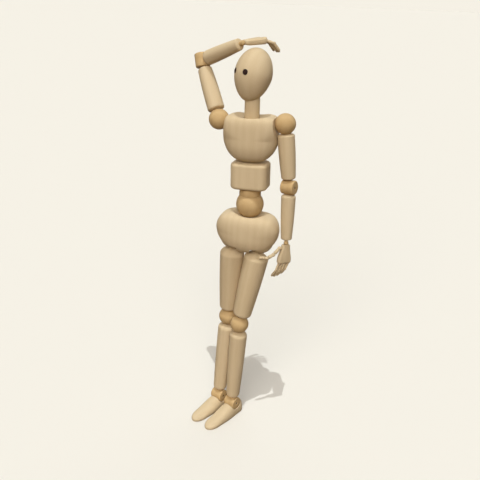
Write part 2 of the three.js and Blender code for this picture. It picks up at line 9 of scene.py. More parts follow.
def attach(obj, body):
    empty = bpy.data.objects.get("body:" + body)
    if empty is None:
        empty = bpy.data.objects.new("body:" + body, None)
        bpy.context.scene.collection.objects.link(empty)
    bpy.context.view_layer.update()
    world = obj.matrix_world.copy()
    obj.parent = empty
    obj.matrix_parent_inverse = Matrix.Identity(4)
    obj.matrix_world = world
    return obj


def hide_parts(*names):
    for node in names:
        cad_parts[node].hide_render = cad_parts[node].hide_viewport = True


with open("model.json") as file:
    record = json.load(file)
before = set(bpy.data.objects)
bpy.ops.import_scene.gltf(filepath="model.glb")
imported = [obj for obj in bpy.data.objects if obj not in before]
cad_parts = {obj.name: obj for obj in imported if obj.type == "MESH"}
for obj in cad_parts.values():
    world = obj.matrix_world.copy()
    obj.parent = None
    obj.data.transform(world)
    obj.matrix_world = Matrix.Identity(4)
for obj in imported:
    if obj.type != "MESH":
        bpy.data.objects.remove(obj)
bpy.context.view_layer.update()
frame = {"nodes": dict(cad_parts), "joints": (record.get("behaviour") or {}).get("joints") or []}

# The pelvis is one block of pale hardwood, carved round and sanded, with a shallow dish on top for the waist
# ball and a round socket below on each side for the hip balls. Its rims are softened by hand sanding.
MM = 0.001
SEAT_GAP = 0.3
MERGE_WITHIN = 0.002
PELVIS = {
    "half_width": 31.2, "top": 20.6, "bottom": 20.6, "depth": 35, "squareness": (2.6, 4),
    "dish_radius": 32, "dish_height": 16.6, "voxel": 0.42, "sanding": 4,
}
PELVIS_OUTLINE = [
    (0, 0.98), (0.3, 1), (0.62, 0.96), (0.85, 0.78), (1, 0.34),
    (0.99, -0.1), (0.85, -0.5), (0.6, -0.83), (0.3, -0.98), (0, -1),
]
HIP = {"apart": 28.6, "radius": 13, "below": 6.9, "mouth_radius": 17.4, "mouth_below": 6.4}
WAIST = {"radius": 13.6, "above": 29.3}
# How much the fibres, the slow drift and the flecks change a wood's tone, how much its gloss varies, and its
# relief, whose height is in metres.
GRAIN = {
    "fibres": 0.75, "wander": 0.6, "flecks": 0.3, "gloss": 0.22,
    "fibre_relief": 0.5, "fleck_relief": -0.6, "relief_height": 0.0001,
}
joints = {joint["name"]: joint for joint in frame["joints"]}
pieces_made = 0


def pivot(name):
    """Where a joint turns, in metres."""
    return Vector(joints[name]["pos_m"])


def axis(name):
    """The direction a joint turns about."""
    return Vector(joints[name]["axis"]).normalized()


def standing(origin, up, side):
    """From a piece's own millimetres to its place, its Z along up and its X as near to side as can be."""
    z = up.normalized()
    x = (side - z * side.dot(z)).normalized()
    turn = Matrix((x, z.cross(x), z)).transposed().to_4x4()
    return Matrix.Translation(origin) @ turn @ Matrix.Scale(MM, 4)


def smooth_outline(knots, count):
    """Points on a closed smooth curve through the knots."""
    knots = [Vector(knot) for knot in knots]
    points = []
    for step in range(count):
        place = step / count * len(knots)
        first = int(place)
        t = place - first
        a, b, c, d = (knots[(first + k) % len(knots)] for k in (-1, 0, 1, 2))
        before, between, after = ((q - p).length ** 0.5 for p, q in ((a, b), (b, c), (c, d)))
        leave = ((b - a) / before - (c - a) / (before + between) + (c - b) / between) * between
        arrive = ((c - b) / between - (d - b) / (between + after) + (d - c) / after) * between
        square = 3 * (c - b) - 2 * leave - arrive
        cube = 2 * (b - c) + leave + arrive
        points.append(b + leave * t + square * t ** 2 + cube * t ** 3)
    return points


def outline_of(block, shares):
    """A block's front outline in millimetres."""
    return [(x * block["half_width"], z * (block["top"] if z > 0 else block["bottom"])) for x, z in shares]


def cushion(half_outline, depth, squareness, around=96, rings=44):
    """A block with this front outline, mirrored left to right, its front edge softer below than above."""
    mirrored = [(-x, z) for x, z in reversed(half_outline[1:-1])]
    outline = smooth_outline(list(half_outline) + mirrored, around)
    bm = bmesh.new()
    bmesh.ops.create_uvsphere(bm, u_segments=around, v_segments=rings, radius=1)
    below, above = squareness
    crest = max(z for _, z in outline)
    for vert in bm.verts:
        place = round(math.atan2(vert.co.y, vert.co.x) / (2 * math.pi) * around) % around
        x, z = outline[place]
        power = below + (above - below) * max(0.0, z / crest)
        share = max(0.0, 1 - min(1.0, abs(vert.co.z)) ** power) ** (1 / power)
        vert.co = (x * share, -vert.co.z * depth / 2, z * share)
    return bm


def ball(radius, center=(0, 0, 0), around=64, rings=40):
    """A round ball."""
    bm = bmesh.new()
    bmesh.ops.create_uvsphere(bm, u_segments=around, v_segments=rings, radius=radius)
    bmesh.ops.translate(bm, verts=bm.verts, vec=center)
    return bm


def arc(center, size, start, end, steps, fullness=1.0):
    """Profile points round part of an oval, as (radius, height), between two angles in degrees."""
    points = []
    for step in range(steps + 1):
        angle = math.radians(start + (end - start) * step / steps)
        across = abs(math.cos(angle)) ** fullness
        upward = math.copysign(abs(math.sin(angle)) ** fullness, math.sin(angle))
        points.append((center[0] + size[0] * across, center[1] + size[1] * upward))
    return points


def turned(profile, steps=64):
    """A piece turned on a lathe about Z, from its profile of (radius, height) points."""
    bm = bmesh.new()
    verts = [bm.verts.new((max(radius, 0.0), 0, height)) for radius, height in profile]
    edges = [bm.edges.new(pair) for pair in zip(verts, verts[1:])]
    bmesh.ops.spin(
        bm, geom=verts + edges, cent=(0, 0, 0), axis=(0, 0, 1), dvec=(0, 0, 0),
        angle=2 * math.pi, steps=steps, use_merge=True, use_duplicate=False,
    )
    bmesh.ops.remove_doubles(bm, verts=bm.verts, dist=MERGE_WITHIN)
    bmesh.ops.recalc_face_normals(bm, faces=bm.faces)
    return bm


def reshaped(bm, add_modifiers, helpers=()):
    """The mesh after some modifiers, as a new bmesh."""
    objects = []
    for source in (bm, *helpers):
        bmesh.ops.recalc_face_normals(source, faces=source.faces)
        mesh = bpy.data.meshes.new("work")
        source.to_mesh(mesh)
        source.free()
        objects.append(bpy.data.objects.new("work", mesh))
        bpy.context.scene.collection.objects.link(objects[-1])
    add_modifiers(objects[0], objects[1:])
    bpy.context.view_layer.update()
    evaluated = objects[0].evaluated_get(bpy.context.evaluated_depsgraph_get())
    result = bmesh.new()
    result.from_mesh(evaluated.to_mesh())
    evaluated.to_mesh_clear()
    for used in objects:
        mesh = used.data
        bpy.data.objects.remove(used)
        bpy.data.meshes.remove(mesh)
    return result


def carved(bm, *tools):
    """The piece with each tool's solid cut out of it."""
    def add_cuts(work, cutters):
        for cutter in cutters:
            cut = work.modifiers.new("cut", "BOOLEAN")
            cut.operation = "DIFFERENCE"
            cut.solver = "EXACT"
            cut.object = cutter
    return reshaped(bm, add_cuts, tools)


def sanded(bm, voxel, passes):
    """The piece with an even skin of small faces and every edge rubbed soft."""
    def add_skin(work, _):
        skin = work.modifiers.new("skin", "REMESH")
        skin.mode = "VOXEL"
        skin.voxel_size = voxel
    skinned = reshaped(bm, add_skin)
    for _ in range(passes):
        bmesh.ops.smooth_vert(
            skinned, verts=skinned.verts, factor=0.5, use_axis_x=True, use_axis_y=True, use_axis_z=True,
        )
    return skinned


def hip_mouth(side):
    """The room round the lower part of a hip ball."""
    radius, below = HIP["mouth_radius"], HIP["mouth_below"]
    start = math.degrees(math.asin(below / radius))
    mouth = turned([(0, -below), *arc((0, 0), (radius, radius), -start, -90, 16)])
    bmesh.ops.translate(mouth, verts=mouth.verts, vec=(side * HIP["apart"] / 2, 0, -HIP["below"]))
    return mouth


def from_screen(red, green, blue):
    """A colour as it is seen on a screen, 0 to 255, as a linear colour."""
    return tuple(((c / 255 + 0.055) / 1.055) ** 2.4 for c in (red, green, blue)) + (1.0,)


def bare_material(name):
    """A new material with an empty node tree."""
    material = bpy.data.materials.new(name)
    material.use_nodes = True
    material.node_tree.nodes.clear()
    return material, material.node_tree


def linked(tree, kind, **settings):
    """A new node with its settings and its inputs by name, a value or another node's socket."""
    node = tree.nodes.new(kind)
    inputs = settings.pop("inputs", {})
    for key, value in settings.items():
        setattr(node, key, value)
    for key, value in inputs.items():
        if isinstance(value, bpy.types.NodeSocket):
            tree.links.new(value, node.inputs[key])
        else:
            node.inputs[key].default_value = value
    return node


def weighted(tree, value, weight, plus):
    """A node value times its weight, added to another."""
    return linked(
        tree, "ShaderNodeMath", operation="MULTIPLY_ADD", inputs={0: value, 1: weight, 2: plus},
    ).outputs["Value"]


def wood(name, pale, dark, roughness, ring_contrast):
    """Sanded wood, its grain along each piece's own length by the attribute "grain", in millimetres."""
    material, tree = bare_material(name)
    grain = linked(tree, "ShaderNodeAttribute", attribute_name="grain").outputs["Vector"]

    def along_grain(across, length):
        return linked(
            tree, "ShaderNodeMapping", vector_type="POINT",
            inputs={"Vector": grain, "Scale": (across, across, length)},
        ).outputs["Vector"]

    def noise(across, length, detail, mix):
        return linked(
            tree, "ShaderNodeTexNoise",
            inputs={"Vector": along_grain(across, length), "Scale": 1.0, "Detail": detail, "Roughness": mix},
        ).outputs["Fac"]

    wander = noise(across=0.05, length=0.016, detail=2.0, mix=0.5)
    rings = linked(
        tree, "ShaderNodeTexWave", wave_type="BANDS", bands_direction="X", wave_profile="SIN",
        inputs={"Vector": along_grain(across=0.034, length=0.003), "Scale": 1.3, "Distortion": 6.0,
                "Detail": 2.0, "Detail Scale": 0.8, "Detail Roughness": 0.55},
    ).outputs["Fac"]
    fibres = noise(across=1.7, length=0.055, detail=5.0, mix=0.62)
    pores = noise(across=4.2, length=0.3, detail=2.0, mix=0.5)
    flecks = linked(
        tree, "ShaderNodeMapRange",
        inputs={"Value": pores, "From Min": 0.66, "From Max": 0.78, "To Min": 0.0, "To Max": 1.0},
    ).outputs["Result"]

    middle = 0.5 - 0.5 * (ring_contrast + GRAIN["fibres"] + GRAIN["wander"])
    tone = weighted(tree, rings, ring_contrast, middle)
    tone = weighted(tree, fibres, GRAIN["fibres"], tone)
    tone = weighted(tree, wander, GRAIN["wander"], tone)
    tone = weighted(tree, flecks, GRAIN["flecks"], tone)
    ramp = linked(tree, "ShaderNodeValToRGB", inputs={"Fac": tone})
    ramp.color_ramp.elements[0].position = 0.0
    ramp.color_ramp.elements[0].color = pale
    ramp.color_ramp.elements[1].position = 1.0
    ramp.color_ramp.elements[1].color = dark
    gloss = weighted(tree, fibres, GRAIN["gloss"], roughness - GRAIN["gloss"] / 2)
    relief = weighted(tree, fibres, GRAIN["fibre_relief"], 0.0)
    relief = weighted(tree, flecks, GRAIN["fleck_relief"], relief)
    bump = linked(
        tree, "ShaderNodeBump",
        inputs={"Height": relief, "Strength": 0.14, "Distance": GRAIN["relief_height"]},
    )
    shader = linked(
        tree, "ShaderNodeBsdfPrincipled",
        inputs={"Base Color": ramp.outputs["Color"], "Roughness": gloss, "Normal": bump.outputs["Normal"],
                "Specular IOR Level": 0.1},
    )
    linked(tree, "ShaderNodeOutputMaterial", inputs={"Surface": shader.outputs["BSDF"]})
    return material


def finished(bm, name, place, body, material, node=None, crease=36):
    """Puts a piece in its place as an object of its own, smooth apart from its real edges.

    It stands for the node given, or else for the node that has its body's name.
    """
    global pieces_made
    pieces_made += 1
    bmesh.ops.recalc_face_normals(bm, faces=bm.faces)
    # Each piece is cut from another place in the wood, so that no two show the same grain.
    cut_from = Vector((
        37.0 * math.sin(5.1 * pieces_made), 41.0 * math.cos(3.7 * pieces_made), 53.0 * pieces_made,
    ))
    grain = bm.verts.layers.float_vector.new("grain")
    for vert in bm.verts:
        vert[grain] = vert.co + cut_from
    bm.transform(place)
    mesh = bpy.data.meshes.new(name)
    bm.to_mesh(mesh)
    bm.free()
    mesh.polygons.foreach_set("use_smooth", [True] * len(mesh.polygons))
    mesh.set_sharp_from_angle(angle=math.radians(crease))
    mesh.materials.append(material)
    piece = bpy.data.objects.new(name, mesh)
    bpy.context.scene.collection.objects.link(piece)
    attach(piece, body)
    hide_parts(node or body)


pale_wood = wood(
    "pale_wood", from_screen(216, 197, 164), from_screen(202, 180, 144), roughness=0.58, ring_contrast=0.2,
)
hip_line = (pivot("hip_swing_left") - pivot("hip_swing_right")).normalized()
pelvis_up = hip_line.cross(Vector((0, 1, 0)))
pelvis_middle = (pivot("hip_swing_left") + pivot("hip_swing_right")) / 2 + pelvis_up * HIP["below"] * MM
pelvis_block = carved(
    cushion(outline_of(PELVIS, PELVIS_OUTLINE), PELVIS["depth"], PELVIS["squareness"]),
    ball(PELVIS["dish_radius"], (0, 0, PELVIS["dish_height"] + PELVIS["dish_radius"]), around=96, rings=64),
    ball(WAIST["radius"] + SEAT_GAP, (0, 0, WAIST["above"])),
    *(ball(HIP["radius"] + SEAT_GAP, (side * HIP["apart"] / 2, 0, -HIP["below"])) for side in (1, -1)),
    hip_mouth(1),
    hip_mouth(-1),
)
finished(
    sanded(pelvis_block, PELVIS["voxel"], PELVIS["sanding"]), "carved_pelvis",
    standing(pelvis_middle, pelvis_up, hip_line), "pelvis", pale_wood,
)

# The waist is a ball that rolls in the pelvis's dish, and a short turned collar that sits on it. The collar's
# thin stub goes up into the abdomen. Both are turned from a slightly more yellow wood.
COLLAR = {
    "radius": 10.6, "top_radius": 8.6, "height": 16.3, "flare": 4.5, "lip": 0.5, "lip_inside": 0.6,
    "stub_radius": 4, "stub_length": 6, "stub_edge": 0.4, "seat_edge": 0.25, "seat_start": 0.4,
}
BALL_FRONT = Vector((0.3, 1, 0.2))


def turned_ball(part, radius, joint, material, pole):
    """A ball turned from one piece of wood, in its place round a joint, its grain along its pole."""
    profile = arc((0, 0), (radius, radius), 90, -90, 40)
    place = standing(pivot(joint), pole, BALL_FRONT)
    finished(turned(profile, steps=72), f"turned_{part}", place, part, material)


amber_wood = wood(
    "amber_wood", from_screen(209, 182, 136), from_screen(188, 155, 108), roughness=0.52, ring_contrast=0.22,
)
torso_up = axis("waist_turn")
torso_side = axis("waist_bend")
turned_ball("waist_ball", WAIST["radius"], "waist_bend", amber_wood, torso_up)

collar_seat = WAIST["radius"] + SEAT_GAP
seat_height = collar_seat * math.sqrt(1 - (COLLAR["radius"] / collar_seat) ** 2)
seat_angle = math.degrees(math.acos((COLLAR["radius"] - COLLAR["seat_start"]) / collar_seat))
stub_top = COLLAR["height"] + COLLAR["stub_length"]
lip_center = COLLAR["top_radius"] - COLLAR["lip_inside"]
collar_profile = [
    (0, stub_top),
    (COLLAR["stub_radius"] - COLLAR["stub_edge"], stub_top),
    (COLLAR["stub_radius"], stub_top - COLLAR["stub_edge"]),
    (COLLAR["stub_radius"], COLLAR["height"]),
    (lip_center, COLLAR["height"]),
    *arc((lip_center, COLLAR["height"] - COLLAR["lip"]), (COLLAR["lip"], COLLAR["lip"]), 90, 20, 4),
    *arc(
        (COLLAR["top_radius"], COLLAR["height"] - COLLAR["flare"]),
        (COLLAR["radius"] - COLLAR["top_radius"], COLLAR["flare"]), 80, 0, 10,
    )[1:],
    (COLLAR["radius"], seat_height + 2 * COLLAR["seat_edge"]),
    (COLLAR["radius"] - COLLAR["seat_edge"], seat_height + COLLAR["seat_edge"]),
    *arc((0, 0), (collar_seat, collar_seat), seat_angle, 90, 24),
]
collar_place = standing(pivot("waist_bend"), torso_up, torso_side)
finished(turned(collar_profile, steps=72), "turned_waist_collar", collar_place, "waist_collar", amber_wood)

# The abdomen is a squared block with full round corners and soft edges, sawn and sanded from pale wood. A
# bore in its underside takes the waist collar's stub.
ABDOMEN = {"width": 36, "depth": 27, "height": 25.7, "corner": 7.6, "edge": 3, "voxel": 0.45, "sanding": 3}
CUT_PAST = 1
LEVEL_WITHIN = 0.01


def box(size):
    """A plain block about the middle."""
    bm = bmesh.new()
    bmesh.ops.create_cube(bm, size=1)
    bmesh.ops.scale(bm, verts=bm.verts, vec=size)
    return bm


def round_off(bm, edges, radius, segments):
    """Rounds some edges of a block."""
    bmesh.ops.bevel(
        bm, geom=edges, offset=radius, offset_type="OFFSET", segments=segments, profile=0.5,
        affect="EDGES", material=-1, clamp_overlap=True,
    )


def drill(radius, low, high, steps=64):
    """The round room that a drill leaves along Z, from one height to another."""
    return turned([(0, low), (radius, low), (radius, high), (0, high)], steps)


block = box((ABDOMEN["width"], ABDOMEN["depth"], ABDOMEN["height"]))
bmesh.ops.translate(block, verts=block.verts, vec=(0, 0, ABDOMEN["height"] / 2))
upright = [e for e in block.edges if abs(e.verts[0].co.z - e.verts[1].co.z) > LEVEL_WITHIN]
round_off(block, upright, ABDOMEN["corner"], segments=12)
level = [e for e in block.edges if abs(e.verts[0].co.z - e.verts[1].co.z) < LEVEL_WITHIN]
round_off(block, level, ABDOMEN["edge"], segments=6)
stub_bore = drill(COLLAR["stub_radius"] + SEAT_GAP, -CUT_PAST, COLLAR["stub_length"] + SEAT_GAP)
abdomen_base = pivot("waist_bend") + torso_up * (COLLAR["height"] + SEAT_GAP) * MM
finished(
    sanded(carved(block, stub_bore), ABDOMEN["voxel"], ABDOMEN["sanding"]), "sawn_abdomen",
    standing(abdomen_base, torso_up, torso_side), "abdomen", pale_wood,
)

# The chest is a carved block like the pelvis the other way up: a dish on top with the neck's socket in it, a
# scoop on each side for the shoulder ball, and sides planed away so that the arms can hang.
CHEST = {
    "half_width": 27, "top": 21.6, "bottom": 22.9, "depth": 34, "squareness": (2.7, 5),
    "dish_radius": 46, "dish_height": 17.6, "voxel": 0.4, "sanding": 3,
}
CHEST_OUTLINE = [
    (0, 1), (0.3, 1), (0.6, 1), (0.85, 0.9), (0.98, 0.6), (1, 0.15),
    (0.94, -0.25), (0.79, -0.62), (0.55, -0.88), (0.28, -0.98), (0, -1),
]
SHOULDER = {"apart": 64, "radius": 9.8, "above": 15}
NECK = {"radius": 7.1, "length": 24, "socket": 4, "socket_past": 9, "edge": 0.4, "edge_height": 0.5}
ARM_ROOM = {"slab": (20, 60, 80), "half_thickness": 8.8, "lean": 7.2}


def planed_side(side):
    """The slab of room beside the chest where an arm hangs."""
    slab = box(ARM_ROOM["slab"])
    outward = ARM_ROOM["slab"][0] / 2 - ARM_ROOM["half_thickness"]
    bmesh.ops.translate(slab, verts=slab.verts, vec=(side * outward, 0, 0))
    lean = Matrix.Rotation(math.radians(-side * ARM_ROOM["lean"]), 3, "Y")
    bmesh.ops.rotate(slab, verts=slab.verts, cent=(0, 0, 0), matrix=lean)
    bmesh.ops.translate(slab, verts=slab.verts, vec=(side * SHOULDER["apart"] / 2, 0, SHOULDER["above"]))
    return slab


chest_up = axis("neck_turn")
chest_side = axis("chest_bend")
neck_socket = drill(
    NECK["radius"] + SEAT_GAP, CHEST["dish_height"] - NECK["socket"], CHEST["top"] + NECK["socket_past"],
)
chest_block = carved(
    cushion(outline_of(CHEST, CHEST_OUTLINE), CHEST["depth"], CHEST["squareness"]),
    ball(CHEST["dish_radius"], (0, 0, CHEST["dish_height"] + CHEST["dish_radius"]), around=96, rings=64),
    neck_socket,
    *(
        ball(SHOULDER["radius"] + SEAT_GAP, (side * SHOULDER["apart"] / 2, 0, SHOULDER["above"]))
        for side in (1, -1)
    ),
    planed_side(1),
    planed_side(-1),
)
finished(
    sanded(chest_block, CHEST["voxel"], CHEST["sanding"]), "carved_chest",
    standing(pivot("chest_bend"), chest_up, chest_side), "chest", pale_wood,
)

# The neck is a plain turned post with a round top, of the pale wood. It stands in the chest's socket, where
# it turns, and the head nods on its round end.
neck_profile = [
    *arc((0, NECK["length"]), (NECK["radius"], NECK["radius"]), 90, 0, 20),
    (NECK["radius"], NECK["edge_height"]), (NECK["radius"] - NECK["edge"], 0), (0, 0),
]
neck_place = standing(pivot("neck_turn"), chest_up, chest_side)
finished(turned(neck_profile), "turned_neck", neck_place, "neck", pale_wood)

# The head is an egg turned from pale wood, its narrow end the chin. A cup under it fits the neck's round end,
# and two dark stained studs are pressed in for eyes.
HEAD = {
    "radius": 17.5, "crown": 24, "chin": 24.2, "taper": 0.12, "tilt": 14, "sunk": 4.7,
    "cup_flare": 2.6, "cup_depth": 9,
}
EYE = {
    "radius": 2.5, "proud": 0.7, "length": 2.4, "dome": 1.1, "edge": 0.2, "apart": 46, "fit": 0.12,
    "bore_past": 2,
}


def egg(steps):
    """The head's profile from crown to chin."""
    points = []
    for step in range(steps + 1):
        t = math.cos(math.pi * step / steps)
        width = math.sqrt(max(0.0, 1 - t * t)) * (1 + HEAD["taper"] * min(t, 0))
        points.append((HEAD["radius"] * width, t * (HEAD["crown"] if t > 0 else HEAD["chin"])))
    return points


def eye_aimed(bm, side):
    """Turns a stud or its bore from upright to where the eye sits."""
    bmesh.ops.rotate(bm, verts=bm.verts, cent=(0, 0, 0), matrix=Matrix.Rotation(math.pi / 2, 3, "X"))
    aim = Matrix.Rotation(math.radians(side * EYE["apart"] / 2), 3, "Z")
    bmesh.ops.rotate(bm, verts=bm.verts, cent=(0, 0, 0), matrix=aim)
    return bm


def mottled(name, dark, light, scale, finish):
    """A material whose colour drifts between two near tones."""
    material, tree = bare_material(name)
    grain = linked(tree, "ShaderNodeAttribute", attribute_name="grain").outputs["Vector"]
    drift = linked(
        tree, "ShaderNodeTexNoise",
        inputs={"Vector": grain, "Scale": scale, "Detail": 3.0, "Roughness": 0.6},
    ).outputs["Fac"]
    ramp = linked(tree, "ShaderNodeValToRGB", inputs={"Fac": drift})
    ramp.color_ramp.elements[0].color = dark
    ramp.color_ramp.elements[1].color = light
    shader = linked(
        tree, "ShaderNodeBsdfPrincipled",
        inputs={"Base Color": ramp.outputs["Color"], "Roughness": 0.42, **finish},
    )
    linked(tree, "ShaderNodeOutputMaterial", inputs={"Surface": shader.outputs["BSDF"]})
    return material


nod = pivot("head_nod")
head_side = axis("head_nod")
head_up = Matrix.Rotation(math.radians(-HEAD["tilt"]), 3, head_side) @ Vector((0, 0, 1))
head_middle = nod + chest_up * (HEAD["chin"] - HEAD["sunk"]) * MM
head_place = standing(head_middle, head_up, head_side)
nod_inside = head_place.inverted() @ nod
cup_radius = NECK["radius"] + SEAT_GAP
neck_room = turned([
    (0, 0), (cup_radius, 0), (cup_radius + HEAD["cup_flare"], -HEAD["cup_depth"]), (0, -HEAD["cup_depth"]),
])
tip = Matrix.Rotation(math.radians(HEAD["tilt"]), 3, "X")
bmesh.ops.rotate(neck_room, verts=neck_room.verts, cent=(0, 0, 0), matrix=tip)
bmesh.ops.translate(neck_room, verts=neck_room.verts, vec=nod_inside)
eye_outer = HEAD["radius"] + EYE["proud"]
eye_inner = eye_outer - EYE["length"]
bore_floor, bore_mouth = eye_inner - EYE["fit"], eye_outer + EYE["bore_past"]
eye_bores = [
    eye_aimed(drill(EYE["radius"] + EYE["fit"], bore_floor, bore_mouth, steps=48), side) for side in (1, -1)
]
head_egg = carved(turned(egg(64), steps=96), ball(cup_radius, nod_inside), neck_room, *eye_bores)
finished(head_egg, "turned_head", head_place, "head", pale_wood)

dark_stud = mottled(
    "dark_stud", from_screen(26, 10, 7), from_screen(52, 24, 16), scale=0.9,
    finish={"Specular IOR Level": 0.2},
)
for side, name in ((1, "left"), (-1, "right")):
    stud = turned([
        *arc((0, eye_outer - EYE["dome"]), (EYE["radius"], EYE["dome"]), 90, 0, 14),
        (EYE["radius"], eye_inner + EYE["edge"]), (EYE["radius"] - EYE["edge"], eye_inner), (0, eye_inner),
    ], steps=40)
    finished(eye_aimed(stud, side), f"eye_stud_{name}", head_place, "head", dark_stud, f"eye_{name}")

# Each arm hangs from a turned shoulder ball that rolls in the chest's scoop. The upper arm is a tapered dowel
# turned from pale wood with soft ends, its top hollowed for the ball.
UPPER_ARM = {"top": 8.1, "bottom": 6.9, "length": 43.9, "bulge": 0.4, "gap": 8.9}
ARM_ENDS = {"shoulder": (2.6, 0.72), "elbow": (3.2, 0.72), "wrist": (2, 0.72)}
SHOULDER_POLE = Vector((0.9, 0.2, 0.35))
UPPER_ARM_TURNED = Vector((0.01, 0.3, 0.02))


def dowel(limb, upper_end, lower_end, upper_ball=0.0, lower_ball=0.0, lower_center=0.0):
    """A tapered limb that hangs from its upper joint, each end a soft dome, hollowed where a ball sits."""
    top = -limb["gap"]
    bottom = top - limb["length"]
    (upper_dome, upper_full), (lower_dome, lower_full) = upper_end, lower_end
    crown = arc((0, top - upper_dome), (limb["top"], upper_dome), 90, 0, 24, upper_full)
    foot_end = arc((0, bottom + lower_dome), (limb["bottom"], lower_dome), 0, -90, 24, lower_full)
    side = []
    rings = 20
    for step in range(1, rings):
        t = step / rings
        radius = limb["top"] + (limb["bottom"] - limb["top"]) * t + limb["bulge"] * math.sin(math.pi * t)
        side.append((radius, top - upper_dome + (bottom + lower_dome - top + upper_dome) * t))
    tools = []
    if upper_ball:
        tools.append(ball(upper_ball + SEAT_GAP, around=72, rings=48))
    if lower_ball:
        tools.append(ball(lower_ball + SEAT_GAP, (0, 0, lower_center), around=72, rings=48))
    body = turned(crown + side + foot_end, steps=72)
    return carved(body, *tools) if tools else body


for side in ("left", "right"):
    shoulder = pivot(f"shoulder_swing_{side}")
    arm_up = (shoulder - pivot(f"elbow_bend_{side}")).normalized()
    turned_ball(
        f"shoulder_ball_{side}", SHOULDER["radius"], f"shoulder_swing_{side}", amber_wood, SHOULDER_POLE,
    )
    finished(
        dowel(UPPER_ARM, ARM_ENDS["shoulder"], ARM_ENDS["elbow"], SHOULDER["radius"]),
        f"turned_upper_arm_{side}",
        standing(shoulder, arm_up, axis(f"elbow_bend_{side}") + UPPER_ARM_TURNED),
        f"upper_arm_{side}", pale_wood,
    )

# The elbow is a short cross barrel of the yellower wood with soft edges, and a steel pin through its bore.
# The forearm's end is hollowed to fit the barrel and bends about the pin. A turned peg makes the wrist.
ELBOW = {"radius": 7, "length": 13.2, "edge": 1.2, "pin": 1.2, "fit": 0.12, "pin_short": 0.35}
FOREARM = {"top": 7, "bottom": 5.4, "length": 45.8, "bulge": 0.3, "gap": 7}
WRIST = {"radius": 2.4, "peg": 1.7, "length": 8, "gap": 3.2, "edge": 0.2}
BORE_EDGE = 0.25
PIN_EDGE = 0.15


def laid_across(bm):
    """Turns an upright piece to lie along X."""
    bmesh.ops.rotate(bm, verts=bm.verts, cent=(0, 0, 0), matrix=Matrix.Rotation(math.pi / 2, 3, "Y"))
    return bm


def barrel(joint):
    """A cross barrel with soft edges and a bore for its pin."""
    half, edge = joint["length"] / 2, joint["edge"]
    inner, bore = joint["radius"] - edge, joint["pin"] + joint["fit"]
    return laid_across(turned([
        (bore, half - BORE_EDGE), (bore + BORE_EDGE, half),
        *arc((inner, half - edge), (edge, edge), 90, 0, 8),
        *arc((inner, edge - half), (edge, edge), 0, -90, 8),
        (bore + BORE_EDGE, -half), (bore, BORE_EDGE - half), (bore, half - BORE_EDGE),
    ], steps=72))


def pin(joint):
    """The steel pin in a barrel, its cut ends just inside the wood."""
    half, radius = joint["length"] / 2 - joint["pin_short"], joint["pin"]
    return laid_across(turned([
        (0, half), (radius - PIN_EDGE, half), (radius, half - PIN_EDGE),
        (radius, PIN_EDGE - half), (radius - PIN_EDGE, -half), (0, -half),
    ], steps=32))


def barrel_room(joint):
    """The round hollow that a barrel turns in."""
    return laid_across(drill(joint["radius"] + SEAT_GAP, -joint["length"], joint["length"], steps=96))


# The pins' steel is painted much darker than bare steel. This is painted shade, so that each pin's end shows
# as a shadowed bore.
steel = mottled(
    "steel", from_screen(44, 36, 30), from_screen(70, 60, 52), scale=2.2, finish={"Metallic": 1.0},
)
forearm_span = FOREARM["gap"] + FOREARM["length"] + WRIST["gap"]
for side in ("left", "right"):
    elbow = pivot(f"elbow_bend_{side}")
    wrist = pivot(f"wrist_bend_{side}")
    lower_up = (elbow - wrist).normalized()
    across = -axis(f"elbow_bend_{side}")
    elbow_place = standing(elbow, lower_up, across)
    barrel_body = f"elbow_barrel_{side}"
    finished(barrel(ELBOW), f"turned_elbow_barrel_{side}", elbow_place, barrel_body, amber_wood)
    finished(pin(ELBOW), f"cut_elbow_pin_{side}", elbow_place, barrel_body, steel, f"elbow_pin_{side}")
    peg_bore = drill(
        WRIST["peg"] + SEAT_GAP, -CUT_PAST - forearm_span, WRIST["length"] + SEAT_GAP - forearm_span,
        steps=40,
    )
    forearm = carved(dowel(FOREARM, ARM_ENDS["elbow"], ARM_ENDS["wrist"]), barrel_room(ELBOW), peg_bore)
    finished(forearm, f"turned_forearm_{side}", elbow_place, f"forearm_{side}", pale_wood)
    neck_angle = math.degrees(math.acos(WRIST["peg"] / WRIST["radius"]))
    peg = turned([
        (0, WRIST["length"]), (WRIST["peg"] - WRIST["edge"], WRIST["length"]),
        (WRIST["peg"], WRIST["length"] - WRIST["edge"]),
        *arc((0, 0), (WRIST["radius"], WRIST["radius"]), neck_angle, -90, 24),
    ], steps=40)
    wrist_place = standing(wrist, lower_up, across)
    finished(peg, f"turned_wrist_peg_{side}", wrist_place, f"wrist_peg_{side}", amber_wood)

# Each hand is a flat sawn palm of pale wood with round seats for its fingers. Fingers and thumb are tiny
# turned pieces, each with a round knuckle that sits in the hollow end of the piece before it.
PALM = {
    "wrist": 9, "knuckles": 14.4, "length": 20.4, "thickness": 5.6, "edge": 1.9, "top": -1.3,
    "wrist_corner": 1.4, "wrist_straight": 4, "knuckle_corner": 1.2, "knuckle_straight": 5,
    "thinned": 0.34, "thinned_from": -6.5,
}
FINGER = {"spacing": 3.5, "radius": 1.35, "knuckle": 1.5, "first": 9, "last": 10.2, "tip": 1.15}
THUMB = {
    "radius": 1.8, "knuckle": 1.95, "first": 8.8, "middle": 7.4, "last": 9.6, "tip": 1.5,
    "down": 5.4, "out": 2.3,
}
REACHES = {"index": 0.95, "middle": 1, "ring": 0.96, "little": 0.82}
# The shaft's sizes are shares of its radius, its knuckle's radius or its length, and one angle in degrees.
SHAFT = {
    "waist": 0.94, "knuckle_end": -34, "groove": 0.72, "groove_at": 0.86, "start": 0.98, "start_at": 1.02,
    "slim_to": 0.35, "tip_slim_to": 0.3, "groove_in_tip": 0.74, "groove_in_tip_at": (0.45, 0.48, 0.52, 0.55),
    "taper_at": 0.72,
}
DIGIT_END = {"edge": 0.2, "edge_height": 0.25}


